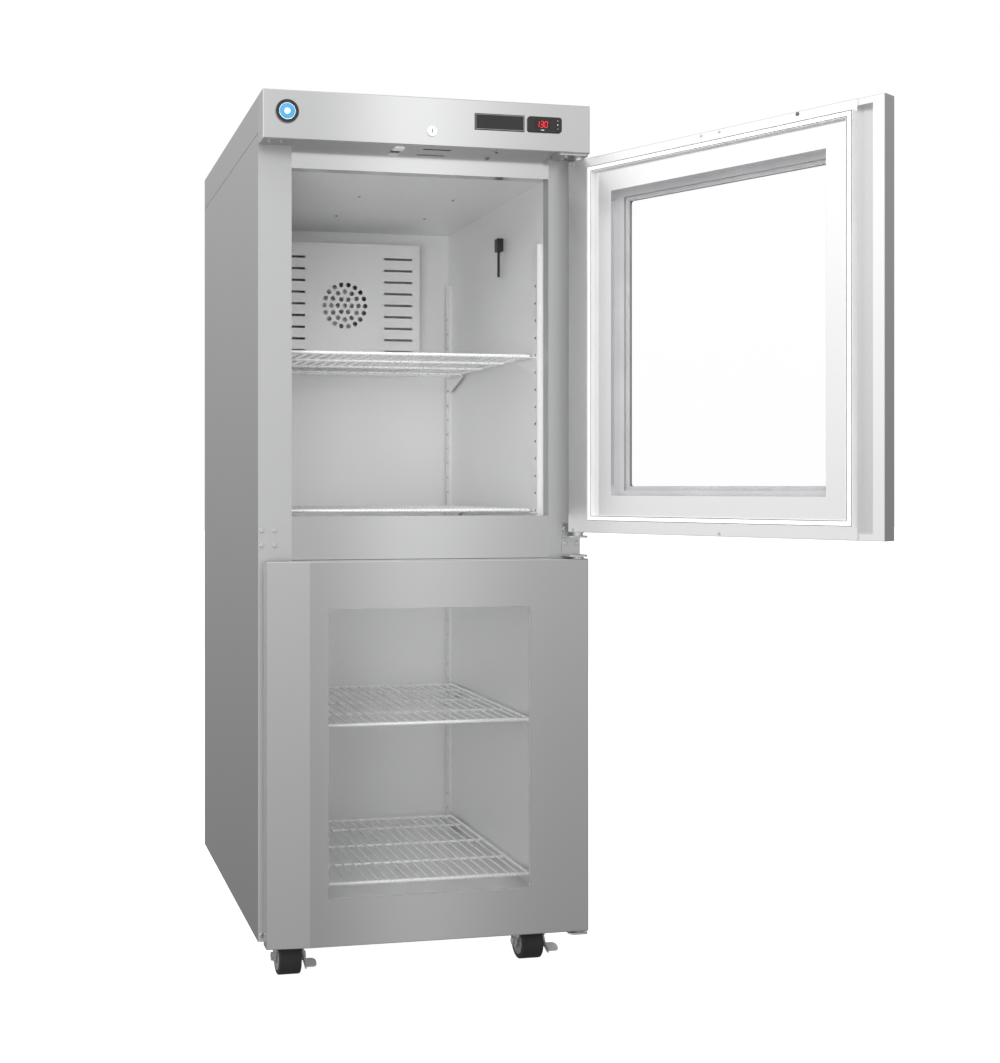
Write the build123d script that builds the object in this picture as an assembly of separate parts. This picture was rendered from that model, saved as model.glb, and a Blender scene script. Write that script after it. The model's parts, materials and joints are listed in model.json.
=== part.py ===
from build123d import *
import math
import os

# Hot towel cabinet, in millimetres. X runs along the front, with 0 at the middle of the body,
# Y runs from the front to the back, with 0 at the middle of the body's depth, and Z is up from the floor.

# ---- overall sizes ----
width = 698.5
depth = 805.0
body_height = 1732.5
base = 102.0
half = width / 2
face = -depth / 2
rear = depth / 2
top = base + body_height
skin = 1.2
liner = 1.0

# ---- face frame and cavity ----
stile = 70.0
frame_depth = 30.0
opening_half = half - stile
bottom_rail_top = base + 33.4
mid_rail = (base + 750.4, base + 871.0)
top_rail = (base + 1588.0, base + 1633.0)
cavity_half = 298.0
cavity_floor = base + 40.0
cavity_ceiling = base + 1600.0
cavity_front = face + frame_depth
cavity_back = rear - 50.0
cap_seam = base + 1657.0

# ---- header ----
header_out = 56.0
header_bottom = base + 1633.0
header_front = face - header_out
badge_at = (-299.5, base + 1689.0)
badge_radius = 24.5
plate_box = (95.8, 203.8, base + 1671.0, base + 1705.0)
control_at = (247.8, base + 1687.8)
control_size = (75.0, 32.6)
lock_at = (3.8, base + 1663.0)
cam_length = 52.0
sensor_box = (-67.2, -46.2, face - 34.0, face - 8.0)

# ---- doors ----
door_left = -340.6
door_right = 346.4
door_height = 782.0
door_front = face - header_out
door_inner = face - 12.0
lip = face - 16.0
bevel_width = 88.0
bevel_drop = 6.0
lower_bottom = base - 1.0
upper_bottom = base + 836.6
open_angle = 119.0
window_left = -214.2
window_width = 431.0
window_margin = 97.0
tunnel_margin = 19.5
grip_inner = -291.2
grip_outer = -319.3
grip_depth = 20.0
grip_end = 12.0
gasket_width = 12.0
gasket_face = face - 0.3
pane = 3.2

# ---- hinges ----
pivot = (334.1, face - 30.4)
pin_radius = 5.0
running = 0.05
bracket = 4.0
bracket_out = 50.0
bracket_left = 308.3
bracket_right = 348.8
bracket_screws = (315.0, 342.0)
bush_radius = 9.0
bush_flange = 12.0
flange_thick = 2.0
collar_radius = 10.0

# ---- shelves ----
shelf_levels = (base + 74.6, base + 418.5, base + 884.0, base + 1227.0)
shelf_half = 286.0
shelf_front = face + 136.0
shelf_back = face + 690.0
bar_pitch = 157.0
standard_width = 24.0
standard_depth = 8.0
standard_rows = (face + 92.0, face + 722.0)
standard_top = base + 1466.0
bracket_reach = 108.0
bracket_drop = 40.0
rim_rod = 4.0
bar_rod = 3.0
wire = 2.0
wire_count = 24

# ---- heater on the back wall ----
baffle_half = 200.0
baffle_z = (base + 1240.0, base + 1560.0)
baffle_deep = 62.0
fan_centre = base + 1400.0
fan_radius = 75.0

# ---- casters ----
caster_x = 268.7
caster_rows = (face + 68.0, rear - 68.0)
trail = 30.0
wheel_radius = 38.0
wheel_width = 48.0
axle_radius = 6.0
fork_gap = 51.0
fork_sheet = 4.0
crown = (82.0, 86.0)
pedal_slope = 20.0
plate_bottom = 98.0


def slab(x0, x1, y0, y1, z0, z1):
    """A box between two corners."""
    return Pos((x0 + x1) / 2, (y0 + y1) / 2, (z0 + z1) / 2) * Box(x1 - x0, y1 - y0, z1 - z0)


def rod(start, end, radius):
    """A straight round bar between two points."""
    line = Edge.make_line(start, end)
    return extrude(Plane(origin=start, z_dir=line % 0) * Circle(radius), line.length)


def along_y(x, z, y0, y1, radius):
    """A disc or bar whose axis runs front to back."""
    return rod((x, y0, z), (x, y1, z), radius)


def along_z(x, y, z0, z1, radius):
    """A disc or bar whose axis is vertical."""
    return rod((x, y, z0), (x, y, z1), radius)


def upright(points, z0, z1):
    """A plan outline, extruded from z0 to z1."""
    outline = make_face(Polyline(*points, close=True))
    return Pos(0, 0, z0) * extrude(outline, z1 - z0)


def panel_xz(x0, x1, z0, z1, y0, y1, radius):
    """A flat plate that faces the front, with round corners."""
    centre = Pos((x0 + x1) / 2, y1, (z0 + z1) / 2)
    sketch = Rot(90, 0, 0) * RectangleRounded(x1 - x0, z1 - z0, radius)
    return centre * extrude(sketch, y1 - y0)


def border(outer, inner, y0, y1):
    """Four flat strips that make a frame facing the front. Each outline is (x0, x1, z0, z1)."""
    x0, x1, z0, z1 = outer
    u0, u1, w0, w1 = inner
    return [
        slab(x0, x1, y0, y1, z0, w0),
        slab(x0, x1, y0, y1, w1, z1),
        slab(x0, u0, y0, y1, w0, w1),
        slab(u1, x1, y0, y1, w0, w1),
    ]


def joined(shapes):
    """Several touching shapes as one solid."""
    result = shapes[0]
    for shape in shapes[1:]:
        result = result + shape
    return result


def mirrored(shape):
    """The same shape on the other side of the cabinet."""
    return mirror(shape, about=Plane.YZ)


def group(shapes):
    """Separate solids that share one node."""
    return Compound(children=[s for shape in shapes for s in shape.solids()])


# ---- casing ----
def casing():
    left = slab(-half, -half + skin, face + skin, rear - skin, base, cap_seam - 1.0)
    back = slab(-half, half, rear - skin, rear, base, top - skin)
    back = back - along_y(cord_at[0], cord_at[1], rear - 10, rear + 10, 11.0)
    lid = slab(-half, half, face, rear, top - skin, top)
    flange = slab(-half, -half + skin, face, rear - skin, cap_seam, top - skin)
    pan = slab(-half + skin, half - skin, face + skin, rear - skin, base, base + 1.5)
    for x, y in bolt_places():
        pan = pan - along_z(x, y, base - 1, base + 3, 4.0)
    return {
        "side_panel_left": left,
        "side_panel_right": mirrored(left),
        "back_panel": back,
        "top_panel": joined([lid, flange, mirrored(flange)]),
        "base_pan": pan,
    }


def insulation():
    inner = cavity_half + liner
    low = base + 1.5
    high = cavity_ceiling + liner
    side = slab(-half + skin, -inner, cavity_front, rear - skin, low, high + 48.0)
    behind = slab(-inner, inner, cavity_back + liner, rear - skin, low, high + 48.0)
    behind = behind - along_y(0, fan_centre, cavity_back, rear, 44.0)
    below = slab(-inner, inner, cavity_front + liner, cavity_back + liner, low, cavity_floor - liner)
    for x, y in bolt_places():
        below = below - along_z(x, y, base, base + 15, 8.0)
        behind = behind - along_z(x, y, base, base + 15, 8.0)
    above = slab(-inner, inner, cavity_front, cavity_back + liner, high, high + 48.0)
    above_bolts = base + 14.0
    post = slab(-half + 2 * skin, -opening_half - skin, face + 15.0, cavity_front, above_bolts, header_bottom)
    bars = []
    for z0, z1 in ((above_bolts, bottom_rail_top), mid_rail, top_rail):
        bars.append(slab(-opening_half, opening_half, face + skin, cavity_front, z0 + skin, z1 - skin))
    return group([side, mirrored(side), behind, below, above, post, mirrored(post), *bars])


def inner_liner():
    inner = cavity_half
    outer = cavity_half + liner
    left = slab(-outer, -inner, cavity_front, cavity_back + liner, cavity_floor, cavity_ceiling)
    back = slab(-inner, inner, cavity_back, cavity_back + liner, cavity_floor, cavity_ceiling)
    back = back - along_y(0, fan_centre, cavity_back - 5, cavity_back + 5, 9.0)
    ceiling = slab(-outer, outer, cavity_front, cavity_back + liner, cavity_ceiling, cavity_ceiling + liner)
    floor = slab(-outer, outer, cavity_front, cavity_back + liner, cavity_floor - liner, cavity_floor)
    edge = opening_half
    return_left = slab(-inner, -edge, cavity_front, cavity_front + liner, cavity_floor, cavity_ceiling)
    return_top = slab(-edge, edge, cavity_front, cavity_front + liner, top_rail[0], cavity_ceiling)
    sill = slab(-edge, edge, cavity_front, cavity_front + liner, bottom_rail_top, cavity_floor - liner)
    mullion = slab(-edge, edge, cavity_front, cavity_front + liner, *mid_rail)
    return group([left, mirrored(left), back, ceiling, floor, return_left, mirrored(return_left),
                  return_top, sill, mullion])


def face_frame():
    low = base
    web = slab(-half, -opening_half, face, face + skin, low, header_bottom)
    outer_leg = slab(-half + skin, -half + 2 * skin, face + skin, face + 25.0, low + 1.5, header_bottom)
    inner_leg = slab(-opening_half - skin, -opening_half, face + skin, cavity_front, low + 1.5, header_bottom)
    left = joined([web, outer_leg, inner_leg])
    for z in blank_levels:
        for x in bracket_screws:
            left = left - along_y(-x, z, face - 5, face + 5, 3.0)
    rails = []
    for z0, z1, lower, upper in ((base, bottom_rail_top, False, True), (*mid_rail, True, True),
                                 (*top_rail, True, False)):
        rail = slab(-opening_half, opening_half, face, face + skin, z0, z1)
        if lower:
            rail = rail + slab(-opening_half, opening_half, face + skin, cavity_front, z0, z0 + skin)
        if upper:
            rail = rail + slab(-opening_half, opening_half, face + skin, cavity_front, z1 - skin, z1)
        rails.append(rail)
    return {"face_stiles": group([left, mirrored(left)]), "face_rails": group(rails)}


# ---- header ----
def header():
    shell = slab(-half, half, header_front, face, header_bottom, top)
    front_edges = [e for e in shell.edges() if abs(e.center().Y - header_front) < 0.01]
    shell = fillet(front_edges, 2.0)
    hollow = slab(-half + skin, half - skin, header_front + skin, face + 1, header_bottom - 1, top - skin)
    shell = shell - hollow
    w, h = control_size
    cx, cz = control_at
    shell = shell - slab(cx - w / 2 + 2, cx + w / 2 - 2, header_front - 1, face, cz - h / 2 + 2, cz + h / 2 - 2)
    shell = shell - along_y(lock_at[0], lock_at[1], header_front - 1, face, 9.0)
    under = slab(-half + skin, half - skin, header_front + skin, cavity_front, header_bottom,
                 header_bottom + skin)
    reach = math.sqrt(cam_length**2 - (lock_at[1] - header_bottom) ** 2)
    under = under - slab(lock_at[0] - 9, lock_at[0] + reach + 9, face - 28, face - 21,
                         header_bottom - 1, header_bottom + 3)
    for x in plug_places:
        under = under - along_z(x, face - 32.0, header_bottom - 1, header_bottom + 3, 4.0)
    sensor = slab(*sensor_box, header_bottom - 2.0, header_bottom)
    sensor = fillet(sensor.edges().filter_by(Axis.Z), 2.0)
    return {"header_front": shell, "header_underside": under, "door_sensor": sensor}


def header_badges():
    x, z = badge_at
    disc = along_y(x, z, header_front - 2.0, header_front, badge_radius)
    disc = chamfer(disc.edges().filter_by(GeomType.CIRCLE).sort_by(Axis.Y)[0], 0.8)
    x0, x1, z0, z1 = plate_box
    plate = panel_xz(x0, x1, z0, z1, header_front - 1.5, header_front, 1.0)
    return group([disc, plate])


def controller():
    cx, cz = control_at
    w, h = control_size
    front = header_front - 4.0
    bezel = panel_xz(cx - w / 2, cx + w / 2, cz - h / 2, cz + h / 2, front, header_front, 6.0)
    bezel = fillet(bezel.faces().sort_by(Axis.Y)[0].edges(), 1.0)
    body = slab(cx - w / 2 + 2.3, cx + w / 2 - 2.3, header_front, header_front + 50,
                cz - h / 2 + 2.3, cz + h / 2 - 2.3)
    housing = bezel + body
    window = panel_xz(cx - 22.0, cx + 10.0, cz - 9.0, cz + 9.0, front - 1, front + 1.2, 1.5)
    housing = housing - window
    lens = panel_xz(cx - 21.8, cx + 9.8, cz - 8.8, cz + 8.8, front + 0.1, front + 1.2, 1.4)
    nodes = {}
    for name, dz in (("up", 8.5), ("set", 0.0), ("down", -8.5)):
        x, z = cx + 28.0, cz + dz
        housing = housing - along_y(x, z, front - 1, front + 3.2, 2.6)
        key = along_y(x, z, front - 0.8, front + 2.4, 2.3)
        key = fillet(key.edges().filter_by(GeomType.CIRCLE).sort_by(Axis.Y)[0], 0.4)
        nodes["controller_button_" + name] = key
    return {"controller_housing": housing, "controller_display": lens, **nodes}


def lock():
    x, z = lock_at
    collar = along_y(x, z, header_front - 2.5, header_front, 11.0)
    collar = fillet(collar.edges().filter_by(GeomType.CIRCLE).sort_by(Axis.Y)[0], 1.0)
    barrel = collar + along_y(x, z, header_front, face - 28.0, 9.0)
    barrel = barrel - along_y(x, z, header_front - 5, face, 6.5 + running)
    plug = along_y(x, z, header_front - 3.0, face - 26.0, 6.5)
    keyway = slab(x - 0.8, x + 0.8, header_front - 4, header_front + 6, z - 4, z + 4)
    plug = plug - keyway
    cam = slab(x, x + cam_length - 6, face - 26, face - 23, z - 6, z + 6)
    cam = cam + along_y(x + cam_length - 6, z, face - 26, face - 23, 6.0)
    cam = cam + along_y(x, z, face - 26, face - 23, 9.0)
    nut = along_y(x, z, face - 23, face - 19, 5.0)
    return {"lock_body": barrel, "lock_plug": group([plug, cam, nut])}


# ---- hinges ----
def hinge_hardware():
    px, py = pivot
    top_plate = slab(284.0, half, face - bracket_out, face - 2.0, header_bottom - bracket, header_bottom)
    corners = top_plate.edges().filter_by(Axis.Z).group_by(Axis.Y)[0]
    top_plate = fillet(corners, 6.0)
    top_plate = top_plate - along_z(px, py, top_plate_z, header_bottom + 1, pin_radius)
    brackets = []
    for shelf_low, leg in face_brackets:
        plate = slab(bracket_left, bracket_right, face - bracket_out, face, shelf_low, shelf_low + bracket)
        plate = fillet(plate.edges().filter_by(Axis.Z).group_by(Axis.Y)[0], 8.0)
        plate = plate - along_z(px, py, shelf_low - 1, shelf_low + bracket + 1, pin_radius)
        upright_leg = slab(bracket_left, bracket_right, face - bracket, face, shelf_low + bracket, leg)
        for x in bracket_screws:
            upright_leg = upright_leg - along_y(x, screw_level(leg), face - 10, face + 1, 3.0)
        brackets.append(plate + upright_leg)
    pins = [
        along_z(px, py, header_bottom - 28.0, header_bottom, pin_radius)
        + along_z(px, py, header_bottom - 12.0, top_plate_z, collar_radius),
        along_z(px, py, upper_bottom - 11.6, upper_bottom + 14.0, pin_radius)
        + along_z(px, py, upper_bottom - 7.6, upper_bottom - flange_thick - 0.3, collar_radius),
        along_z(px, py, base + 766.0, base + 789.0, pin_radius)
        + along_z(px, py, base + 783.3, base + 785.0, collar_radius),
        along_z(px, py, base - 10.0, base + 14.0, pin_radius)
        + along_z(px, py, base - 6.0, base - 3.3, collar_radius),
    ]
    return {
        "hinge_bracket_top": top_plate,
        "hinge_brackets_face": group(brackets),
        "hinge_pins": group(pins),
    }


def screw_level(leg_top):
    """The height of the two screws in a face bracket, from the top of its upright leg."""
    return leg_top - 12.0


def pan_screw(x, z, seat):
    """A pan-head screw through the face of the body. Its head rests on the plane y = seat."""
    head = along_y(x, z, seat - 3.0, seat, 4.8)
    head = fillet(head.edges().filter_by(GeomType.CIRCLE).sort_by(Axis.Y)[0], 1.2)
    cross = slab(x - 2.4, x + 2.4, seat - 4, seat - 1.8, z - 0.5, z + 0.5)
    cross = cross + slab(x - 0.5, x + 0.5, seat - 4, seat - 1.8, z - 2.4, z + 2.4)
    return (head - cross) + along_y(x, z, seat, face + 14.0, 3.0)


def blanking_bolts():
    bolts = []
    for z in blank_levels:
        for x in bracket_screws:
            bolts.append(pan_screw(-x, z, face))
    for x in plug_places:
        cap = along_z(x, face - 32.0, header_bottom - 1.2, header_bottom, 6.0)
        cap = cap + along_z(x, face - 32.0, header_bottom, header_bottom + 5.0, 4.0)
        bolts.append(cap)
    return group(bolts)


def fasteners():
    items = []
    for _, leg in face_brackets:
        for x in bracket_screws:
            items.append(pan_screw(x, screw_level(leg), face - bracket))
    for x, y in ((305.0, face - 32.0), (305.0, face - 12.0)):
        head = along_z(x, y, top_plate_z - 2.6, top_plate_z, 5.0)
        items.append(head)
    for x, y in bolt_places():
        hexagon = extrude(RegularPolygon(6.5, 6), 4.0)
        head = Pos(x, y, plate_bottom - 4.0) * hexagon
        shank = along_z(x, y, plate_bottom, base + 12.0, 4.0)
        items.append(head + shank)
    return group(items)


def bolt_places():
    """The centres of the sixteen caster bolts."""
    places = []
    for x in (-caster_x, caster_x):
        for y in caster_rows:
            places += [(x + dx, y + dy) for dx in (-24, 24) for dy in (-38, 38)]
    return places


# ---- doors ----
def door_plan(inset):
    """The door's outline seen from above, closed, set in from the skin's outer face."""
    corner = door_left + bevel_width
    return [
        (door_left + inset, door_front + bevel_drop + inset),
        (corner, door_front + inset),
        (door_right - inset, door_front + inset),
        (door_right - inset, door_inner),
        (grip_inner, door_inner),
        (grip_inner, lip),
        (door_left + inset, lip),
    ]


def door(bottom, keeper):
    """One door, closed, as a dictionary of its pieces."""
    high = bottom + door_height
    px, py = pivot
    x0, x1 = window_left, window_left + window_width
    z0, z1 = bottom + window_margin, high - window_margin
    tx0, tx1 = x0 - tunnel_margin, x1 + tunnel_margin
    tz0, tz1 = z0 - tunnel_margin, z1 + tunnel_margin
    middle = (door_front + door_inner) / 2

    outer = upright(door_plan(0.0), bottom, high)
    front_edges = [e for e in outer.edges() if e.center().Y < door_front + bevel_drop + 0.5
                   and e.length < door_height - 1 or abs(e.center().X - door_right) < 0.01
                   and abs(e.center().Y - door_front) < 0.01]
    outer = fillet(front_edges, 2.0)
    hollow_plan = door_plan(skin)
    hollow_plan[3] = (hollow_plan[3][0], door_inner + 5)
    hollow_plan[4:] = [(door_left + skin, door_inner + 5)]
    shell = outer - upright(hollow_plan, bottom + skin, high - skin)
    shell = shell - panel_xz(x0, x1, z0, z1, door_front - 5, middle, 6.0)
    holes = []
    for level in (bottom, high):
        holes.append(along_z(px, py, level - 3, level + 3, bush_radius))
    for hole in holes:
        shell = shell - hole

    # inner pan: flat ring, window tunnel and finger grip
    edge = door_inner - skin
    glass_back = door_front + skin + 2 * pane + 4.4
    fit = 0.05
    ring = border((grip_inner, door_right - skin - fit, bottom + skin + fit, high - skin - fit),
                  (tx0, tx1, tz0, tz1), edge, door_inner)
    tunnel = border((tx0 - skin, tx1 + skin, tz0 - skin, tz1 + skin), (tx0, tx1, tz0, tz1),
                    glass_back, edge)
    grip_floor = lip - grip_depth
    edge_strip = upright([(door_left + skin, lip), (grip_outer, lip), (grip_outer - 0.4, lip - skin),
                          (door_left + skin, lip - skin)], bottom + skin, high - skin)
    slope = upright([(grip_outer, lip), (grip_inner - skin, grip_floor), (grip_inner - skin, grip_floor - skin),
                     (grip_inner - 1.4, grip_floor - skin), (grip_outer - 0.4, lip - skin)],
                    bottom + skin, high - skin)
    wall = slab(grip_inner - skin, grip_inner, grip_floor - skin, door_inner, bottom + skin, high - skin)
    ends = []
    for level in (bottom + skin, high - grip_end):
        ends.append(upright([(grip_outer, lip), (grip_inner - skin, grip_floor), (grip_inner - skin, lip)],
                            level, level + grip_end - skin))
    pan = group([*ring, *tunnel, edge_strip, slope, wall, *ends])

    # foam between the two sheets
    gap = 0.2
    foam = upright([(door_left + skin + gap, door_front + bevel_drop + skin + gap),
                    (door_left + bevel_width, door_front + skin + gap),
                    (door_right - skin - gap, door_front + skin + gap),
                    (door_right - skin - gap, edge - gap), (grip_inner + gap, edge - gap),
                    (grip_inner + gap, grip_floor - skin - gap),
                    (grip_inner - 1.6, grip_floor - skin - gap),
                    (grip_outer - 0.6, lip - skin - gap),
                    (door_left + skin + gap, lip - skin - gap)],
                   bottom + skin + gap, high - skin - gap)
    foam = foam - slab(tx0 - skin - gap, tx1 + skin + gap, door_front, door_inner,
                       tz0 - skin - gap, tz1 + skin + gap)
    for level in (bottom, high):
        foam = foam - along_z(px, py, level - 22, level + 22, bush_radius + gap)

    # double glazing
    panes = []
    for y in (door_front + skin, glass_back - pane):
        panes.append(slab(tx0 + 0.5, tx1 - 0.5, y, y + pane, tz0 + 0.5, tz1 - 0.5))
    spacer_y = (door_front + skin + pane, glass_back - pane)
    spacer = border((tx0 + 2, tx1 - 2, tz0 + 2, tz1 - 2), (x0, x1, z0, z1), *spacer_y)
    bead = border((tx0, tx1, tz0, tz1), (tx0 + 11, tx1 - 11, tz0 + 11, tz1 - 11), glass_back, glass_back + 3)

    # gasket: a hollow-section ring round the opening of the body
    gx = opening_half - 2.0
    opening = gasket_openings[0] if bottom < mid_rail[0] else gasket_openings[1]
    gz0, gz1 = opening[0] + 2.0, opening[1] - 2.0
    seal = border((-gx - gasket_width, gx + gasket_width, gz0 - gasket_width, gz1 + gasket_width),
                  (-gx, gx, gz0, gz1), door_inner, gasket_face)

    bushes = []
    for level, way in ((bottom, -1), (high, 1)):
        low, up = sorted((level, level - way * 18.0))
        flange_low, flange_up = sorted((level, level + way * flange_thick))
        bush = along_z(px, py, low, up, bush_radius) + along_z(px, py, flange_low, flange_up, bush_flange)
        bush = bush - along_z(px, py, level - 30, level + 30, pin_radius + running)
        bushes.append(bush)

    if keeper:
        kx0, kx1 = lock_at[0] - 10, lock_at[0] + 38
        ky0, ky1 = face - 30, face - 19
        cup = slab(kx0 - 2, kx1 + 2, ky0 - 2, ky1 + 2, high - 14, high)
        shell = shell - cup
        foam = foam - slab(kx0 - 3, kx1 + 3, ky0 - 3, ky1 + 3, high - 15, high)
        keeper_cup = cup - slab(kx0, kx1, ky0, ky1, high - 12, high + 1)
        bushes.append(keeper_cup)
    return {
        "skin": shell,
        "inner_pan": pan,
        "insulation": foam,
        "glass": group(panes),
        "glazing_frame": group([*spacer, *bead]),
        "gasket": group(seal),
        "hardware": group(bushes),
    }


# ---- inside ----
def wire_shelf(level):
    """A welded wire shelf: a rim, three cross bars under the wires, and wires flush with the rim."""
    z = level - rim_rod
    bars = []
    for y in (shelf_front, shelf_back):
        bars.append(rod((-shelf_half, y, z), (shelf_half, y, z), rim_rod))
    for x in (-shelf_half, shelf_half):
        bars.append(rod((x, shelf_front, z), (x, shelf_back, z), rim_rod))
        for y in (shelf_front, shelf_back):
            bars.append(Pos(x, y, z) * Sphere(rim_rod))
    under = level - 2 * wire - bar_rod + 0.5
    for i in (1, 2, 3):
        y = shelf_front + i * bar_pitch
        bars.append(rod((-shelf_half, y, under), (shelf_half, y, under), bar_rod))
    frame = joined(bars)
    pitch = 2 * shelf_half / (wire_count + 1)
    wires = []
    for i in range(wire_count):
        x = -shelf_half + (i + 1) * pitch
        wires.append(rod((x, shelf_front, level - wire), (x, shelf_back, level - wire), wire))
    return frame + wires


def standard(x_wall, side, y):
    """A slotted shelf standard on a side wall: side is the direction away from the wall."""
    x0, x1 = sorted((x_wall, x_wall + side * standard_depth))
    bar = slab(x0, x1, y, y + standard_width, cavity_floor + 2.0, standard_top)
    i0, i1 = sorted((x_wall - side, x_wall + side * (standard_depth - 1.5)))
    bar = bar - slab(i0, i1, y + 1.5, y + standard_width - 1.5, cavity_floor, standard_top + 1)
    slots = []
    count = int((standard_top - cavity_floor - 60) / 38)
    for i in range(count):
        z = cavity_floor + 40 + i * 38
        s0, s1 = sorted((x_wall + side * 5, x_wall + side * 10))
        slots.append(slab(s0, s1, y + 7, y + 17, z, z + 5))
    return bar - slots


def shelf_bracket(wall, side, start, way, under):
    """A bracket on a standard: a web with a sloping lower edge and a lip under the shelf's rim."""
    y0, y1 = sorted((start, start + way * bracket_reach))
    deep = min(bracket_drop, under - cavity_floor - 4.0)
    h0, h1 = (deep, 5.0) if way > 0 else (5.0, deep)
    outline = make_face(Polyline((y0, under - 2.0), (y1, under - 2.0), (y1, under - h1),
                                 (y0, under - h0), close=True))
    near = wall + side * (standard_depth - 3.0)
    web = Pos(near, 0, 0) * extrude(Plane(origin=(0, 0, 0), x_dir=(0, 1, 0), z_dir=(1, 0, 0)) * outline,
                                    side * 2.0)
    c0, c1 = sorted((near, wall + side * (standard_depth + 8.0)))
    return web + slab(c0, c1, y0, y1, under - 2.0, under)


def inside():
    shelf = wire_shelf(0.0)
    shelves = [Pos(0, 0, level) * shelf for level in shelf_levels]
    standards = []
    clips = []
    starts = ((standard_rows[0] + standard_width, 1), (standard_rows[1], -1))
    for side, wall in ((1, -cavity_half), (-1, cavity_half)):
        for y in standard_rows:
            standards.append(standard(wall, side, y))
        for start, way in starts:
            for level in shelf_levels:
                clips.append(shelf_bracket(wall, side, start, way, level - 2 * rim_rod))
    return {
        "wire_shelves": group(shelves),
        "shelf_standards": group(standards),
        "shelf_clips": group(clips),
    }


def heater():
    z0, z1 = baffle_z
    y0 = cavity_back - baffle_deep
    cover = slab(-baffle_half, baffle_half, y0, cavity_back, z0, z1)
    cover = cover - slab(-baffle_half + liner, baffle_half - liner, y0 + liner, cavity_back + 1,
                         z0 + liner, z1 - liner)
    cuts = []
    for i in range(9):
        z = z0 + 40 + i * 30
        for side in (-1, 1):
            a, b = sorted((side * 105, side * 180))
            cuts.append(slab(a, b, y0 - 1, y0 + 2, z, z + 6))
    for ring, count in ((0, 1), (18, 6), (36, 12), (54, 18)):
        for k in range(count):
            turn = 2 * math.pi * k / count
            x, z = ring * math.cos(turn), fan_centre + ring * math.sin(turn)
            cuts.append(along_y(x, z, y0 - 1, y0 + 2, 6.0))
    cover = cover - cuts

    y = cavity_back - 30.0
    coil = fan_radius + 18.0
    ends = 30.0
    path = Wire([
        Edge.make_circle(coil, Plane(origin=(0, y, fan_centre), x_dir=(1, 0, 0), z_dir=(0, -1, 0)),
                         -180 + ends, 180 - ends),
    ])
    element = sweep(Plane(origin=path @ 0, z_dir=path % 0) * Circle(4.0), path)
    tails = []
    for end in (path @ 0, path @ 1):
        tail = rod((end.X, y - 4, end.Z), (end.X, cavity_back, end.Z), 5.0)
        tails.append(tail)
    element = element + tails

    motor = along_y(0, fan_centre, cavity_back + liner, cavity_back + 44.0, 42.0)
    boss = along_y(0, fan_centre, cavity_back - 2.0, cavity_back + liner, 8.5)
    motor = motor + boss
    motor = motor - along_y(0, fan_centre, cavity_back - 5, cavity_back + 20, 4.0 + running)
    hub = along_y(0, fan_centre, cavity_back - 45.0, cavity_back - 5.0, 14.0)
    shaft = along_y(0, fan_centre, cavity_back - 6.0, cavity_back + 18.0, 4.0)
    disc = along_y(0, fan_centre, cavity_back - 14.0, cavity_back - 12.0, fan_radius)
    blades = []
    for k in range(8):
        blade = slab(12.0, fan_radius - 2, cavity_back - 42.0, cavity_back - 13.0, -1.0, 1.0)
        blades.append(Pos(0, 0, fan_centre) * Rot(0, k * 45, 0) * blade)
    rotor = joined([hub, shaft, disc, *blades])

    probe_x = cavity_half
    block = slab(probe_x - 14, probe_x, face + 330, face + 352, base + 1490, base + 1520)
    probe = block + rod((probe_x - 8, face + 341, base + 1430), (probe_x - 8, face + 341, base + 1491), 3.0)
    low = cavity_ceiling + 49.0
    box = slab(40, 280, face + 60, face + 260, low, top - 20)
    box = fillet(box.edges().filter_by(Axis.Z), 4.0)
    box = box - slab(41.5, 278.5, face + 61.5, face + 258.5, low + 1.5, top - 21.5)
    gx, gz = cord_at
    gland = along_y(gx, gz, rear, rear + 6.0, 15.0) + along_y(gx, gz, rear + 6.0, rear + 20.0, 10.0)
    gland = gland + along_y(gx, gz, rear - 18.0, rear, 10.8)
    gland = gland - along_y(gx, gz, rear - 20, rear + 22, 4.5)
    nut = along_y(gx, gz, rear - skin - 6.0, rear - skin, 15.0)
    nut = nut - along_y(gx, gz, rear - 20, rear, 10.8)
    return {
        "heater_baffle": cover,
        "heating_element": element,
        "fan_motor": motor,
        "fan_rotor": rotor,
        "temperature_probe": probe,
        "wiring_box": box,
        "cord_inlet": group([gland, nut]),
    }


# ---- casters ----
def leg_outline():
    """The side view of a fork leg: y from the kingpin and z from the floor."""
    axle = (trail, wheel_radius)
    reach = 13.0
    top_front = (-22.0, crown[1])
    top_back = (28.0, crown[1])
    sketch = make_face(Polyline(top_front, top_back, (trail + reach, axle[1]), (trail, axle[1] - reach),
                                (trail - reach, axle[1]), close=True))
    return sketch + Pos(*axle) * Circle(reach)


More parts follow.
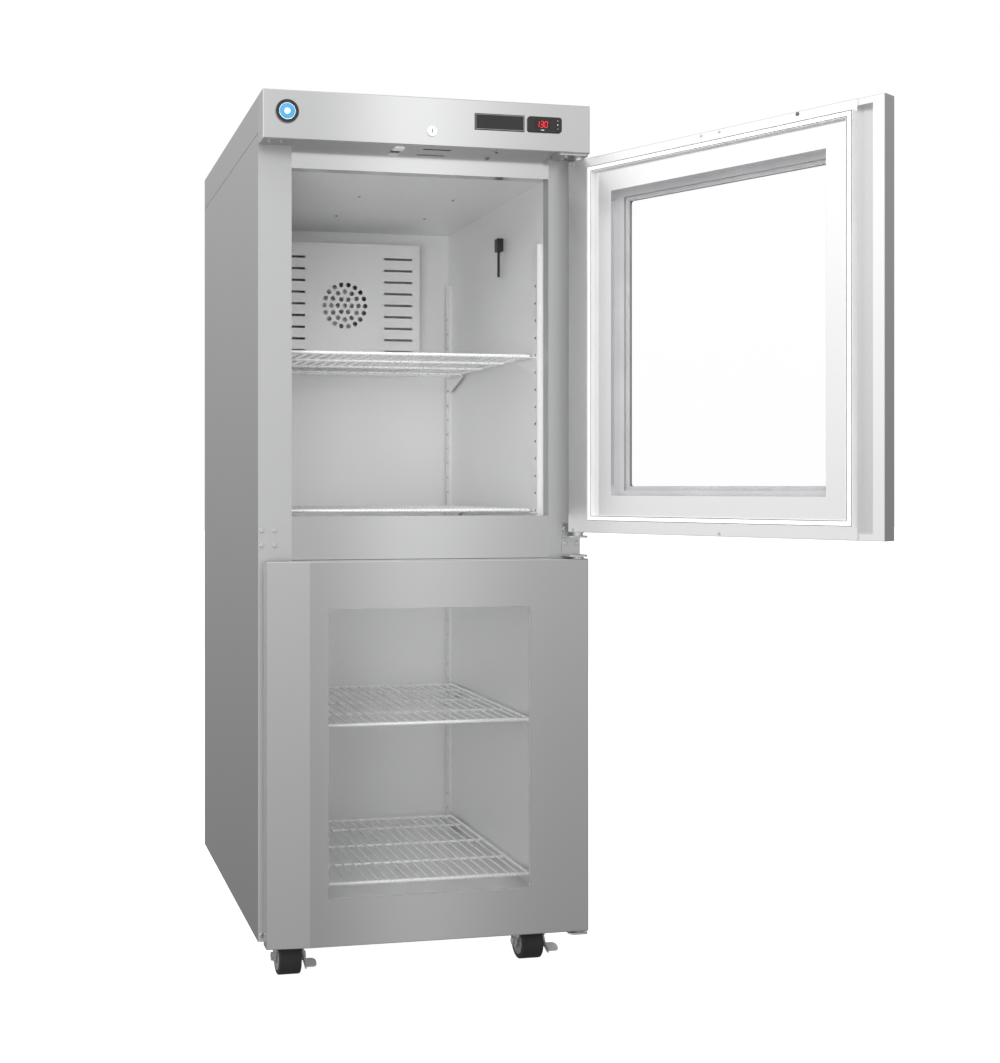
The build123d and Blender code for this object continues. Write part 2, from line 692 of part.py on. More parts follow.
def caster_parts(x, y, pedal):
    """One caster with its kingpin at (x, y), its wheel trailing towards the back."""
    place = Pos(x, y, 0)
    lift = Plane(origin=(0, 0, 0), x_dir=(0, 1, 0), z_dir=(1, 0, 0))
    leg = extrude(lift * leg_outline(), fork_sheet)
    out = fork_gap / 2
    legs = [Pos(out, 0, 0) * leg, Pos(-out - fork_sheet, 0, 0) * leg]
    bridge = slab(-out, out, -22, 28, *crown)
    disc = along_z(0, 0, crown[0], 91.7, 29.0)
    fork = joined([*legs, bridge, disc])
    fork = fork - along_z(0, 0, 70, 99, axle_radius + running)
    bolt = rod((-out - fork_sheet - 6, trail, wheel_radius), (out + fork_sheet + 9, trail, wheel_radius),
               axle_radius)
    for leg_x in (out - 1, -out - fork_sheet - 1):
        fork = fork - rod((leg_x, trail, wheel_radius), (leg_x + fork_sheet + 2, trail, wheel_radius),
                          axle_radius)
    side = Plane(origin=(-out - fork_sheet - 6, trail, wheel_radius), x_dir=(0, 1, 0), z_dir=(1, 0, 0))
    head = extrude(side * RegularPolygon(9.0, 6), 6.0)
    nut_side = Plane(origin=(out + fork_sheet + 3.6, trail, wheel_radius), x_dir=(0, 1, 0), z_dir=(1, 0, 0))
    nut = extrude(nut_side * RegularPolygon(9.0, 6), 5.4)
    nut = nut - rod((out, trail, wheel_radius), (out + 30, trail, wheel_radius), axle_radius)
    bolt = bolt + head

    w = wheel_width / 2
    tread = rod((-w, trail, wheel_radius), (w, trail, wheel_radius), wheel_radius)
    rims = tread.edges().filter_by(GeomType.CIRCLE)
    tread = fillet(rims, 3.0)
    tread = tread - rod((-w - 1, trail, wheel_radius), (w + 1, trail, wheel_radius), 30.0)
    core = rod((-w + 1, trail, wheel_radius), (w - 1, trail, wheel_radius), 30.0)
    for sx in (-1, 1):
        a, b = sorted((sx * (w - 7), sx * (w + 1)))
        dish = rod((a, trail, wheel_radius), (b, trail, wheel_radius), 26.0)
        dish = dish - rod((a, trail, wheel_radius), (b, trail, wheel_radius), 13.0)
        core = core - dish
    core = core - rod((-w - 1, trail, wheel_radius), (w + 1, trail, wheel_radius), axle_radius + running)
    pieces = {"fork": group([place * fork, place * bolt, place * nut]),
              "wheel": group([place * tread, place * core])}

    if pedal:
        inner = out + fork_sheet + 0.3
        ring = rod((inner, trail, wheel_radius), (inner + 3, trail, wheel_radius), 12.0)
        arm = slab(inner, inner + 3, trail - 46, trail, wheel_radius - 1, wheel_radius + 11)
        tab = slab(inner, inner + 24, trail - 52, trail - 26, wheel_radius + 8, wheel_radius + 11)
        tab = fillet(tab.edges().filter_by(Axis.Z).group_by(Axis.X)[-1], 10.0)
        lever = joined([ring, arm, tab])
        lever = lever - rod((inner - 1, trail, wheel_radius), (inner + 4, trail, wheel_radius),
                            axle_radius + running)
        axle = Pos(0, trail, wheel_radius)
        pieces["brake"] = place * axle * Rot(pedal_slope, 0, 0) * axle.inverse() * lever
    return pieces


def caster_plate(x, y):
    """The fixed part of a caster: top plate, upper race and riveted kingpin."""
    plate = slab(-32, 32, -47, 47, plate_bottom, base)
    plate = fillet(plate.edges().filter_by(Axis.Z), 6.0)
    for dx, dy in ((-24, -38), (24, -38), (-24, 38), (24, 38)):
        plate = plate - along_z(dx, dy, plate_bottom - 1, base + 1, 4.0)
    race = along_z(0, 0, 92.0, plate_bottom, 27.0)
    pin = along_z(0, 0, 78.7, plate_bottom, axle_radius)
    rivet = along_z(0, 0, 78.7, crown[0] - 0.3, 9.0)
    return Pos(x, y, 0) * joined([plate, race, pin, rivet])


# ---- places shared by several parts ----
cord_at = (-230.0, top - 45.0)
top_plate_z = header_bottom - bracket
plug_places = (-331.0, -305.0)
face_brackets = (
    (base - 10.0, base + 26.0),
    (base + 785.0, base + 824.0),
    (upper_bottom - 11.6, upper_bottom + 18.0),
)
blank_levels = tuple(screw_level(leg) for _, leg in face_brackets)
gasket_openings = ((bottom_rail_top, mid_rail[0]), (mid_rail[1], top_rail[0]))


def build():
    nodes = {}
    nodes.update(casing())
    nodes["insulation"] = insulation()
    nodes["inner_liner"] = inner_liner()
    nodes.update(face_frame())
    nodes.update(header())
    nodes["header_badges"] = header_badges()
    nodes.update(controller())
    nodes.update(lock())
    nodes.update(hinge_hardware())
    nodes["blanking_bolts"] = blanking_bolts()
    nodes["fasteners"] = fasteners()
    nodes.update(inside())
    nodes.update(heater())

    px, py = pivot
    swing = Pos(px, py, 0) * Rot(0, 0, open_angle) * Pos(-px, -py, 0)
    for name, piece in door(upper_bottom, True).items():
        turned = [swing * solid for solid in piece.solids()]
        nodes["upper_door_" + name] = group(turned) if len(turned) > 1 else turned[0]
    for name, piece in door(lower_bottom, False).items():
        nodes["lower_door_" + name] = piece

    plates = []
    for row_name, y in zip(("front", "rear"), caster_rows):
        for side_name, x in (("left", -caster_x), ("right", caster_x)):
            plates.append(caster_plate(x, y))
            for name, piece in caster_parts(x, y, row_name == "front").items():
                nodes["caster_" + row_name + "_" + side_name + "_" + name] = piece
    nodes["caster_plates"] = group(plates)
    return nodes


os.makedirs("parts", exist_ok=True)
for node_name, node_shape in build().items():
    export_step(node_shape, "parts/" + node_name + ".step")
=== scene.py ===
import bmesh
import bpy
import json
import math
from mathutils import Euler, Matrix, Vector


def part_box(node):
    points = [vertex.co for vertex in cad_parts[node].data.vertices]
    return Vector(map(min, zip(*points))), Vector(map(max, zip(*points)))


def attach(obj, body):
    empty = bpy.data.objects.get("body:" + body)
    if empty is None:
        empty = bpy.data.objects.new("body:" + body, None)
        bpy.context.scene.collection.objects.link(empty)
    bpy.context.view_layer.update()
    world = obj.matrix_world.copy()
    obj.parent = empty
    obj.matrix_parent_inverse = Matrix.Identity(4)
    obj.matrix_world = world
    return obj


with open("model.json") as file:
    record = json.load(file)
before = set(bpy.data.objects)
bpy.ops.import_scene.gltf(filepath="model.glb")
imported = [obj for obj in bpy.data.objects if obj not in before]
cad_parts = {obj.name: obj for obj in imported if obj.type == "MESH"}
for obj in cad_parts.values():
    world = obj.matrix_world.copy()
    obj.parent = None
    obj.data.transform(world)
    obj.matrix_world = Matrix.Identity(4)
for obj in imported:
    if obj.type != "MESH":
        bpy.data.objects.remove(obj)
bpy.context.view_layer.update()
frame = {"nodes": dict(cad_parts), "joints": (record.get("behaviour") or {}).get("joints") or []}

scene = bpy.context.scene

# noise scales are in cells per metre
GRAIN_SCALE = 1500.0
GRAIN_STRETCH = 0.012
CLOUD_SCALE = 3.2
SMUDGE_SCALE = 7.0
# the share of light that a pane mirrors when seen head on
HEAD_ON_MIRROR = 0.02


# ---------------------------------------------------------------- materials
def new_material(name):
    """A material with one Principled shader: the material, its node tree and the shader."""
    mat = bpy.data.materials.new(name)
    mat.use_nodes = True
    tree = mat.node_tree
    tree.nodes.clear()
    out = tree.nodes.new("ShaderNodeOutputMaterial")
    shader = tree.nodes.new("ShaderNodeBsdfPrincipled")
    tree.links.new(shader.outputs[0], out.inputs[0])
    return mat, tree, shader


def coords(tree, scale=(1, 1, 1)):
    """Object coordinates, in metres, scaled per axis."""
    place = tree.nodes.new("ShaderNodeTexCoord")
    mapping = tree.nodes.new("ShaderNodeMapping")
    mapping.inputs["Scale"].default_value = scale
    tree.links.new(place.outputs["Object"], mapping.inputs[0])
    return mapping.outputs[0]


def noise(tree, scale, detail=3.0, axes=(1, 1, 1), rough=0.55):
    """A 0..1 cloud pattern; axes below 1 stretch it along that axis."""
    node = tree.nodes.new("ShaderNodeTexNoise")
    node.inputs["Scale"].default_value = scale
    node.inputs["Detail"].default_value = detail
    node.inputs["Roughness"].default_value = rough
    tree.links.new(coords(tree, axes), node.inputs["Vector"])
    return node.outputs[0]


def ramp(tree, value, low, high, start=0.3, end=0.7):
    """Maps a 0..1 value to a range of values or colours."""
    node = tree.nodes.new("ShaderNodeValToRGB")
    for element, at, shade in zip(node.color_ramp.elements, (start, end), (low, high)):
        element.position = at
        element.color = (*shade, 1) if isinstance(shade, tuple) else (shade, shade, shade, 1)
    tree.links.new(value, node.inputs[0])
    return node.outputs[0]


def bump(tree, value, shader, strength, distance):
    """Raises the shader's surface by value, up to distance in metres."""
    node = tree.nodes.new("ShaderNodeBump")
    node.inputs["Strength"].default_value = strength
    node.inputs["Distance"].default_value = distance
    tree.links.new(value, node.inputs["Height"])
    tree.links.new(node.outputs[0], shader.inputs["Normal"])


def maths(tree, operation, a, b):
    """A maths node; a and b are sockets or numbers."""
    node = tree.nodes.new("ShaderNodeMath")
    node.operation = operation
    for socket, value in zip(node.inputs, (a, b)):
        if isinstance(value, float):
            socket.default_value = value
        else:
            tree.links.new(value, socket)
    return node.outputs[0]


def tint(colour, k):
    """The colour made k times as bright."""
    return tuple(min(1.0, c * k) for c in colour)


def steel(name, colour, roughness, grain="Z", vary=0.05, metallic=1.0):
    """Brushed or satin sheet steel: fine grain lines along one axis, with soft cloudy changes."""
    mat, tree, shader = new_material(name)
    shader.inputs["Metallic"].default_value = metallic
    axes = tuple(GRAIN_STRETCH if axis == grain else 1 for axis in "XYZ")
    lines = noise(tree, GRAIN_SCALE, 2.0, axes, 0.6)
    clouds = noise(tree, CLOUD_SCALE, 3.0)
    dark, bright = tint(colour, 1 - vary), tint(colour, 1 + vary)
    both = tree.nodes.new("ShaderNodeMix")
    both.data_type = "RGBA"
    both.inputs[0].default_value = 0.5
    # a Mix node's sockets 6 and 7, and its output 2, are the ones for colours
    tree.links.new(ramp(tree, lines, dark, bright), both.inputs[6])
    tree.links.new(ramp(tree, clouds, dark, bright), both.inputs[7])
    tree.links.new(both.outputs[2], shader.inputs["Base Color"])
    tree.links.new(ramp(tree, lines, roughness * 0.95, roughness * 1.06), shader.inputs["Roughness"])
    bump(tree, lines, shader, 0.012, 0.00005)
    return mat


def plain(name, colour, roughness, metallic=0.0, grain=420.0, depth=0.00012, strength=0.15, vary=0.06):
    """Moulded, painted or cast material with a fine grain and a slight colour change."""
    mat, tree, shader = new_material(name)
    shader.inputs["Metallic"].default_value = metallic
    fine = noise(tree, grain, 2.0)
    broad = noise(tree, 14.0, 3.0)
    dark, bright = tint(colour, 1 - vary), tint(colour, 1 + vary)
    tree.links.new(ramp(tree, broad, dark, bright), shader.inputs["Base Color"])
    smooth = max(0.02, roughness - 0.05)
    tree.links.new(ramp(tree, fine, smooth, roughness + 0.05), shader.inputs["Roughness"])
    bump(tree, fine, shader, strength, depth)
    return mat


def wool(name, colour):
    """Matted glass wool."""
    mat, tree, shader = new_material(name)
    fibres = noise(tree, 160.0, 6.0, (1, 1, 0.2), 0.7)
    tree.links.new(ramp(tree, fibres, tint(colour, 0.75), tint(colour, 1.08)), shader.inputs["Base Color"])
    shader.inputs["Roughness"].default_value = 0.95
    bump(tree, fibres, shader, 0.6, 0.002)
    return mat


def clear_glass(name):
    """A thin pane: a mirror whose cover grows towards grazing view, alike on both of its faces."""
    mat, tree, shader = new_material(name)
    shader.inputs["Metallic"].default_value = 1.0
    smudge = noise(tree, SMUDGE_SCALE, 3.0)
    tree.links.new(ramp(tree, smudge, (0.92, 0.94, 0.94), (0.97, 0.98, 0.98)), shader.inputs["Base Color"])
    tree.links.new(ramp(tree, smudge, 0.015, 0.03), shader.inputs["Roughness"])
    weight = tree.nodes.new("ShaderNodeLayerWeight")
    weight.inputs["Blend"].default_value = 0.5
    grazing = maths(tree, "POWER", weight.outputs["Facing"], 5.0)
    cover = maths(tree, "ADD", maths(tree, "MULTIPLY", grazing, 1.0 - HEAD_ON_MIRROR), HEAD_ON_MIRROR)
    tree.links.new(cover, shader.inputs["Alpha"])
    return mat


def glow(name, colour, strength):
    """A lit segment of the display."""
    mat, tree, shader = new_material(name)
    cells = noise(tree, 900.0, 1.0)
    tree.links.new(ramp(tree, cells, tint(colour, 0.9), colour), shader.inputs["Base Color"])
    shader.inputs["Roughness"].default_value = 0.4
    shader.inputs["Emission Color"].default_value = (*colour, 1)
    shader.inputs["Emission Strength"].default_value = strength
    return mat


# the materials by their look
M = {
    # the outside sheets are one steel; these copies differ in brightness as painted light and shade: the
    # header and rails are painted lighter, and the side panels, the face frame and the header's underside are
    # painted darker
    "cover": steel("steel_cover", (0.62, 0.622, 0.625), 0.15, "Z", 0.015),
    "side": steel("steel_side", (0.58, 0.582, 0.585), 0.22, "Z", 0.015),
    "header": steel("steel_header", (0.66, 0.662, 0.665), 0.14, "X", 0.015),
    "frame": steel("steel_frame", (0.41, 0.412, 0.415), 0.3, "Z", 0.015, 0.5),
    "rail": steel("steel_rail", (0.66, 0.662, 0.665), 0.15, "X", 0.015),
    "under": steel("steel_under", (0.52, 0.52, 0.522), 0.14, "X", 0.015),
    "liner": steel("steel_liner", (0.86, 0.862, 0.865), 0.38, "Z", 0.008, 0.45),
    "door_inner": steel("steel_door_inner", (0.9, 0.9, 0.905), 0.2, "Z", 0.008),
    "galvanised": steel("steel_galvanised", (0.72, 0.725, 0.73), 0.42, "Z", 0.06),
    "bracket": steel("steel_bracket", (0.66, 0.665, 0.67), 0.3, "X", 0.03),
    "hardware": plain("zinc_hardware", (0.72, 0.72, 0.725), 0.26, 1.0, 260.0, 0.00003, 0.04, 0.03),
    "pedal": plain("pedal_steel", (0.68, 0.68, 0.69), 0.4, 0.7, 300.0, 0.00005, 0.05, 0.04),
    "shelf_wire": plain("chrome_wire", (0.92, 0.92, 0.925), 0.3, 0.35, 300.0, 0.00003, 0.04, 0.03),
    "black": plain("black_plastic", (0.012, 0.012, 0.013), 0.32),
    "key": plain("key_plastic", (0.03, 0.03, 0.032), 0.5),
    "lens": plain("display_lens", (0.02, 0.004, 0.004), 0.12, 0.0, 200.0, 0.00002, 0.03),
    "badge": plain("badge_disc", (0.012, 0.012, 0.014), 0.3),
    "blue": plain("badge_blue", (0.05, 0.27, 0.5), 0.3),
    "white": plain("badge_white", (0.8, 0.82, 0.84), 0.35),
    "trim": plain("plate_border", (0.35, 0.35, 0.36), 0.3, 0.8),
    "seal": plain("gasket_rubber", (0.8, 0.8, 0.805), 0.5, 0.0, 300.0, 0.0002, 0.2, 0.03),
    # painted shade: the dark strips along the gaskets' edges
    "painted_shade_strip": plain("painted_gasket_shade", (0.1, 0.1, 0.105), 0.6, 0.0, 300.0, 0.0002, 0.2),
    "spacer": plain("glazing_seal", (0.4, 0.4, 0.41), 0.45),
    "glass": clear_glass("window_glass"),
    "tread": plain("wheel_tread", (0.013, 0.013, 0.013), 0.62, 0.0, 500.0, 0.0004, 0.5, 0.2),
    "hub": plain("wheel_hub", (0.22, 0.22, 0.225), 0.42, 0.0, 300.0),
    "element": plain("element_sheath", (0.2, 0.19, 0.18), 0.5, 1.0),
    "motor": plain("motor_paint", (0.06, 0.06, 0.065), 0.5),
    "rotor": steel("rotor_aluminium", (0.72, 0.72, 0.73), 0.35, "X"),
    "standard": steel("steel_standard", (0.9, 0.9, 0.905), 0.3, "Z", 0.008, 0.6),
    "wool": wool("glass_wool", (0.82, 0.74, 0.42)),
    "digit": glow("display_digit", (0.75, 0.015, 0.03), 0.9),
    "lock": plain("lock_collar", (0.86, 0.86, 0.865), 0.25, 0.5, 260.0, 0.00003, 0.04, 0.02),
    "mark": plain("printed_mark", (0.7, 0.7, 0.71), 0.5),
    "sensor": plain("sensor_case", (0.9, 0.9, 0.9), 0.35),
    # dark heads, and the dark crosses on screw heads that are painted shade in their recesses
    "dark_and_recess_shade": plain("dark_heads_and_painted_recess_shade", (0.09, 0.09, 0.092), 0.7),
}

# the look of each CAD node, by its name or by the end of its name
LOOK = {
    "insulation": "wool", "side_panel_left": "side", "side_panel_right": "side", "top_panel": "side",
    "back_panel": "galvanised", "base_pan": "galvanised", "wiring_box": "galvanised",
    "inner_liner": "liner", "heater_baffle": "liner", "face_stiles": "frame", "face_rails": "rail",
    "header_underside": "under", "header_front": "header", "header_badges": "black",
    "controller_housing": "black", "cord_inlet": "black", "temperature_probe": "black",
    "door_sensor": "sensor", "lock_body": "lock", "lock_plug": "lock",
    "hinge_brackets_face": "bracket", "hinge_bracket_top": "bracket",
    "controller_display": "lens", "wire_shelves": "shelf_wire",
    "shelf_standards": "standard", "shelf_clips": "standard", "heating_element": "element",
    "fan_motor": "motor", "fan_rotor": "rotor",
}
SUFFIX = {
    "_insulation": "wool", "_skin": "cover", "_inner_pan": "door_inner", "_glass": "glass",
    "_glazing_frame": "spacer", "_gasket": "seal", "_wheel": "tread", "_brake": "pedal",
}


def dress(obj, mat):
    """Gives a CAD node its material, in all of its slots."""
    for slot in obj.material_slots:
        slot.material = mat
    if not obj.material_slots:
        obj.data.materials.append(mat)


for node_name, node in frame["nodes"].items():
    look = LOOK.get(node_name)
    if look is None:
        look = next((v for k, v in SUFFIX.items() if node_name.endswith(k)), None)
    if look is None:
        look = "key" if node_name.startswith("controller_button") else "hardware"
    dress(node, M[look])


# ---------------------------------------------------------------- detail pieces
FORWARD, REARWARD, DOWN = (0, -1, 0), (0, 1, 0), (0, 0, -1)
SHARP = math.radians(34)
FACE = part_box("face_stiles")[0].y

# the upper door's pieces are made as on a closed door, then turned open with it
hinge = next(joint for joint in frame["joints"] if joint["name"] == "upper_door_hinge")
PIVOT = Vector((hinge["pos_m"][0], hinge["pos_m"][1], 0))
OPEN = math.radians(-hinge["range_deg"][0])
SWING = Matrix.Translation(PIVOT) @ Matrix.Rotation(OPEN, 4, "Z") @ Matrix.Translation(-PIVOT)


def add_piece(name, bm, look, body, turn=None):
    """Makes one piece from a bmesh in the row frame; faces meeting at a sharp angle keep their edge."""
    if turn is not None:
        bm.transform(turn)
    bmesh.ops.recalc_face_normals(bm, faces=bm.faces)
    for edge in bm.edges:
        edge.smooth = len(edge.link_faces) == 2 and edge.calc_face_angle(0) < SHARP
    for one in bm.faces:
        one.smooth = True
    mesh = bpy.data.meshes.new(name)
    bm.to_mesh(mesh)
    bm.free()
    obj = bpy.data.objects.new(name, mesh)
    scene.collection.objects.link(obj)
    mesh.materials.append(M[look])
    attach(obj, body)


def turned(bm, profile, centre, axis, steps=40):
    """A body of revolution: profile is (radius, height) pairs from the foot to the top, along axis."""
    up = Vector(axis).normalized()
    side = up.orthogonal().normalized()
    other = up.cross(side)
    rings = []
    for radius, height in profile:
        foot = Vector(centre) + up * height
        if radius == 0:
            rings.append([bm.verts.new(foot)])
            continue
        ring = []
        for i in range(steps):
            a = math.tau * i / steps
            ring.append(bm.verts.new(foot + (side * math.cos(a) + other * math.sin(a)) * radius))
        rings.append(ring)
    for low, high in zip(rings, rings[1:]):
        for i in range(steps):
            j = (i + 1) % steps
            corners = [low[i % len(low)], low[j % len(low)], high[j % len(high)], high[i % len(high)]]
            bm.faces.new(list(dict.fromkeys(corners)))
    for ring in (rings[0], rings[-1]):
        if len(ring) > 1:
            bm.faces.new(ring)


def block(bm, low, high, bevel=0.0):
    """A box with rounded edges."""
    made = bmesh.ops.create_cube(bm, size=1.0)["verts"]
    low, high = Vector(low), Vector(high)
    size = high - low
    for vert in made:
        vert.co = Vector([c * s for c, s in zip(vert.co, size)]) + (low + high) / 2
    if bevel:
        edges = list({e for v in made for e in v.link_edges})
        bmesh.ops.bevel(bm, geom=edges, offset=bevel, segments=2, affect="EDGES", profile=0.5)


def border(bm, x, z, y, width):
    """A mitred rectangular border in an XZ plane: x, z and y are (low, high) pairs."""
    loops = []
    for inset in (0.0, width):
        for depth in y:
            loops.append([bm.verts.new((a, depth, b)) for a, b in (
                (x[0] + inset, z[0] + inset), (x[1] - inset, z[0] + inset),
                (x[1] - inset, z[1] - inset), (x[0] + inset, z[1] - inset))])
    outer_front, outer_back, inner_front, inner_back = loops
    for one, two in ((outer_front, outer_back), (outer_back, inner_back),
                     (inner_back, inner_front), (inner_front, outer_front)):
        for i in range(4):
            j = (i + 1) % 4
            bm.faces.new((one[i], one[j], two[j], two[i]))


def dome(radius, height):
    """The profile of a low domed head."""
    return [(radius, 0.0), (radius, height * 0.35), (radius * 0.86, height * 0.75),
            (radius * 0.55, height * 0.95), (0, height)]


def prism(bm, outline, depths):
    """A flat shape given as (x, z) points, from one depth along Y to the other."""
    back, front = [[bm.verts.new((x, y, z)) for x, z in outline] for y in depths]
    bm.faces.new(back)
    bm.faces.new(front)
    for i in range(len(outline)):
        j = (i + 1) % len(outline)
        bm.faces.new((back[i], back[j], front[j], front[i]))


def heads(name, places, radius, height, axis, look, body, turn=None, cross=False):
    """Domed heads at the places, as one piece, and with cross a dark cross on each as another: painted shade
    that stands in for the shade in its recess.
    """
    bm = bmesh.new()
    for place in places:
        turned(bm, dome(radius, height), place, axis, 24)
    add_piece(name, bm, look, body, turn)
    if not cross:
        return
    # the dark crosses are painted shade, standing in for the shade inside each head's recess
    bm = bmesh.new()
    up = Vector(axis)
    arm, thin = radius * 0.55, radius * 0.12
    for place in places:
        top = Vector(place) + up * height * 0.9
        for one, two in ((arm, thin), (thin, arm)):
            size = Vector((one, thin, two)) if abs(up.y) > 0.5 else Vector((one, two, thin))
            block(bm, top - size, top + size)
    add_piece(name + "_recess_shade_cross", bm, "dark_and_recess_shade", body, turn)


def badge():
    """A rim, a blue field with a pale ring round it, and a plain pale disc in the middle."""
    low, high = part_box("header_badges")
    rim, rim_inside, ring, field, disc = 0.0245, 0.0236, 0.0168, 0.0160, 0.0062
    edge = 0.0005
    middle = Vector((low.x + rim, low.y, (low.z + high.z) / 2))
    bm = bmesh.new()
    turned(bm, [(rim, 0.0), (rim, 0.0004), (rim_inside, 0.0005), (rim_inside, 0.0)],
           middle + Vector((0, 0.0004, 0)), FORWARD, 64)
    add_piece("badge_rim", bm, "trim", "cabinet")
    bm = bmesh.new()
    turned(bm, [(field, 0.0), (field, 0.0003), (field - edge, 0.0004), (0, 0.0004)], middle, FORWARD, 64)
    add_piece("badge_field", bm, "blue", "cabinet")
    bm = bmesh.new()
    turned(bm, [(ring, 0.0), (ring, 0.0005), (field, 0.0005), (field, 0.0)], middle, FORWARD, 64)
    turned(bm, [(disc, 0.0003), (disc, 0.0007), (disc - edge, 0.0008), (0, 0.0008)], middle, FORWARD, 48)
    add_piece("badge_ring", bm, "white", "cabinet")


def name_plate():
    """A thin raised border on the blank plate, which is the right-hand end of the badges."""
    low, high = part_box("header_badges")
    width, height, stroke = 0.1052, 0.0312, 0.0011
    right, foot = high.x - 0.0014, low.z + 0.0079
    bm = bmesh.new()
    border(bm, (right - width, right), (foot, foot + height), (low.y + 0.00015, low.y + 0.0006), stroke)
    add_piece("plate_border", bm, "trim", "cabinet")


# the strokes of a seven-segment digit as (start across, start up, end across, end up), each 0..1
STROKES = {"a": (0, 1, 1, 1), "b": (1, 0.5, 1, 1), "c": (1, 0, 1, 0.5), "d": (0, 0, 1, 0),
           "e": (0, 0, 0, 0.5), "f": (0, 0.5, 0, 1), "g": (0, 0.5, 1, 0.5)}
SEGMENTS = {"0": "abcdef", "1": "bc", "3": "abgcd"}


def digit(bm, character, corner, width, height, stroke):
    """One seven-segment digit leaning to the right; corner is its lower left one, on the lens."""
    lean, gap = 0.1, 0.15
    for name in SEGMENTS[character]:
        u0, v0, u1, v1 = STROKES[name]
        start = Vector((corner.x + u0 * width, corner.z + v0 * height))
        end = Vector((corner.x + u1 * width, corner.z + v1 * height))
        along = (end - start).normalized()
        across = Vector((-along.y, along.x)) * stroke / 2
        start += along * stroke * gap
        end -= along * stroke * gap
        tip = along * stroke / 2
        outline = [start, start + tip + across, end - tip + across,
                   end, end - tip - across, start + tip - across]
        leaning = [(p.x + (p.y - corner.z) * lean, p.y) for p in outline]
        prism(bm, leaning, (corner.y + 0.0002, corner.y - 0.0001))


def controller():
    """The lit digits, the printed bar under them, and the printed dots beside the keys."""
    low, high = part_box("controller_housing")
    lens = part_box("controller_display")[0].y
    middle = Vector(((low.x + high.x) / 2, lens, (low.z + high.z) / 2))
    digit_width, digit_height, digit_pitch, digit_stroke = 0.0060, 0.0124, 0.0092, 0.0012
    bm = bmesh.new()
    for i, character in enumerate("130"):
        corner = middle + Vector((i * digit_pitch - 0.0195, 0, -digit_height / 2))
        digit(bm, character, corner, digit_width, digit_height, digit_stroke)
    add_piece("display_digits", bm, "digit", "cabinet")
    bm = bmesh.new()
    block(bm, middle + Vector((-0.009, -0.0003, -0.0128)), middle + Vector((-0.002, 0.0002, -0.0112)), 0.0002)
    dot_radius, dot_height, key_pitch = 0.0011, 0.0003, 0.0085
    for row in (key_pitch, 0.0, -key_pitch):
        for column in (0.0165, 0.0222):
            turned(bm, [(dot_radius, 0.0), (dot_radius, dot_height), (0, dot_height)],
                   middle + Vector((column, 0.0002, row)), FORWARD, 16)
    add_piece("controller_marks", bm, "mark", "cabinet")


def key_symbols():
    """An arrow on the up and down keys, and a disc on the key between them."""
    reach = 0.0012
    for name, points, way in (("up", 3, 1), ("set", 24, 1), ("down", 3, -1)):
        low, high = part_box("controller_button_" + name)
        middle = (low + high) / 2
        turns = [math.tau * k / points for k in range(points)]
        outline = [(middle.x + reach * math.sin(a), middle.z + way * reach * math.cos(a)) for a in turns]
        bm = bmesh.new()
        prism(bm, outline, (low.y + 0.0002, low.y - 0.00015))
        add_piece("key_symbol_" + name, bm, "mark", "button_" + name)


def cabinet_fittings():
    """The washer and screw under the header, and the screws and rivets of the cabinet's sheets."""
    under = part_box("header_underside")[0].z
    across, depth = 0.1523, -0.4330
    heads("underside_washer", [(across, depth, under)], 0.0075, 0.0012, DOWN, "bracket", "cabinet")
    heads("underside_screw", [(across, depth, under - 0.0010)], 0.0036, 0.0016, DOWN, "dark_and_recess_shade", "cabinet")

    liner, liner_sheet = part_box("inner_liner")[1], 0.001
    ceiling, wall = liner.z - liner_sheet, liner.x - liner_sheet
    places = [(x, y, ceiling) for x in (-0.245, -0.06, 0.165) for y in (-0.335, -0.10, 0.13)]
    heads("ceiling_screws", places, 0.0046, 0.0022, DOWN, "hardware", "cabinet", cross=True)
    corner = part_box("face_stiles")[0] + Vector((0.00595, 0, 0.014))
    heads("stile_screw", [corner], 0.0034, 0.0016, FORWARD, "hardware", "cabinet", cross=True)
    for name, side in (("left", -1), ("right", 1)):
        places = [(side * wall, y, z) for y in (-0.335, 0.02) for z in (0.20, 0.62, 1.06, 1.52)]
        heads("liner_rivets_" + name, places, 0.0036, 0.0014, (-side, 0, 0), "liner", "cabinet")

    low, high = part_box("back_panel")
    edge, pitch_up, pitch_across = high.x - 0.01125, 0.1835, 0.1125
    places = [(x, high.y, low.z + 0.033 + i * pitch_up) for x in (-edge, edge) for i in range(10)]
    places += [(i * pitch_across, high.y, z) for z in (low.z + 0.016, high.z - 0.0113) for i in range(-2, 3)]
    heads("back_screws", places, 0.0042, 0.0022, REARWARD, "hardware", "cabinet", cross=True)


def door_screws():
    """The screws on the doors' inner faces, and the plug and the strike's screws on the upper one."""
    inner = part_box("lower_door_inner_pan")[1].y
    middle, hinged_edge = -0.0163, 0.3330
    places = [(x, inner, 1.7150) for x in (-0.0160, 0.0237)]
    places += [(hinged_edge, inner, 1.7120), (hinged_edge, inner, 0.9440), (middle, inner, 0.9440)]
    heads("upper_door_screws", places, 0.0030, 0.0010, REARWARD, "bracket", "upper_door", turn=SWING)
    heads("upper_door_plug", [(-0.1783, inner, 1.7160)], 0.0038, 0.0008, REARWARD, "dark_and_recess_shade", "upper_door",
          turn=SWING)
    places = [(x, inner, z) for x in (middle, hinged_edge) for z in (0.1065, 0.8780)]
    heads("lower_door_screws", places, 0.0030, 0.0010, REARWARD, "bracket", "lower_door")


